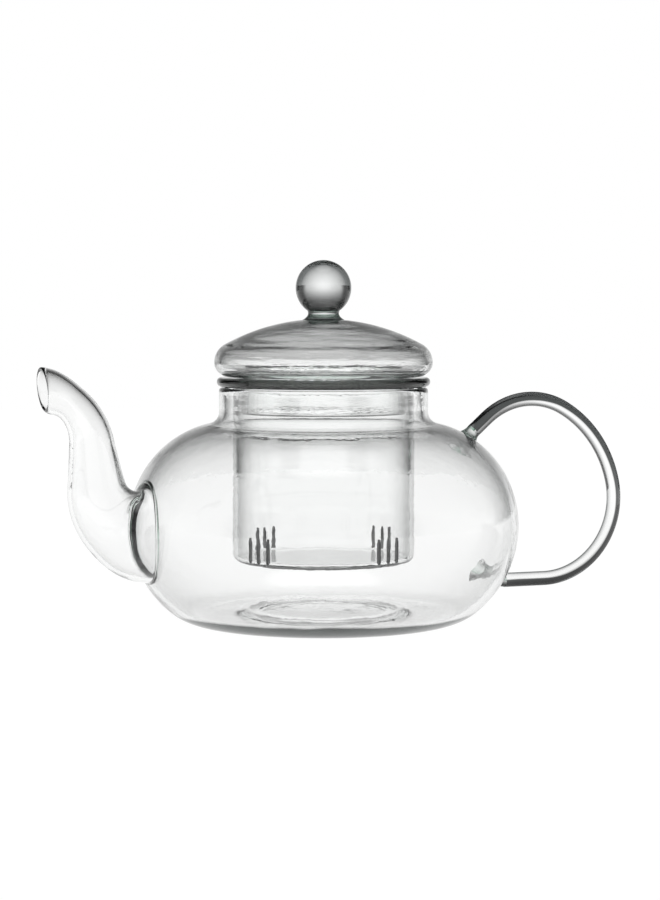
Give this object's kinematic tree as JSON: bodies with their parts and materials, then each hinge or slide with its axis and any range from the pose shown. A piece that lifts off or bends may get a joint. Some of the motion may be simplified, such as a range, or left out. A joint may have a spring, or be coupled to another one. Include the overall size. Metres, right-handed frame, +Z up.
{
  "type": "glass teapot",
  "caption": "Round clear glass teapot with a curved spout, an ear handle, a slit glass infuser hanging in its neck and a domed lid with a ball knob.",
  "frame": {"origin": "centre of the flat foot, on the pot's axis", "axes": "+Z up along the pot's axis, spout along -X, handle along +X"},
  "size_m": [0.2061, 0.1292, 0.1197],
  "materials": {
    "clear_glass": "clear fire-polished"
  },
  "bodies": {
    "pot": {"pot_base": "clear_glass", "pot_lower_belly": "clear_glass", "pot_upper_belly": "clear_glass", "pot_neck": "clear_glass", "spout": "clear_glass", "spout_seam": "clear_glass", "handle": "clear_glass", "handle_upper_pad": "clear_glass", "handle_lower_pad": "clear_glass"},
    "infuser": {"infuser_tube": "clear_glass", "infuser_flange": "clear_glass"},
    "lid": {"lid_dome": "clear_glass", "lid_collar": "clear_glass", "knob_stem": "clear_glass", "knob_ball": "clear_glass"}
  },
  "joints": [
    {"name": "infuser_lift", "type": "slide", "parent": "pot", "child": "infuser", "axis": [0, 0, 1], "range_m": [0, 0.08]},
    {"name": "lid_lift", "type": "slide", "parent": "infuser", "child": "lid", "axis": [0, 0, 1], "range_m": [0, 0.03]}
  ]
}
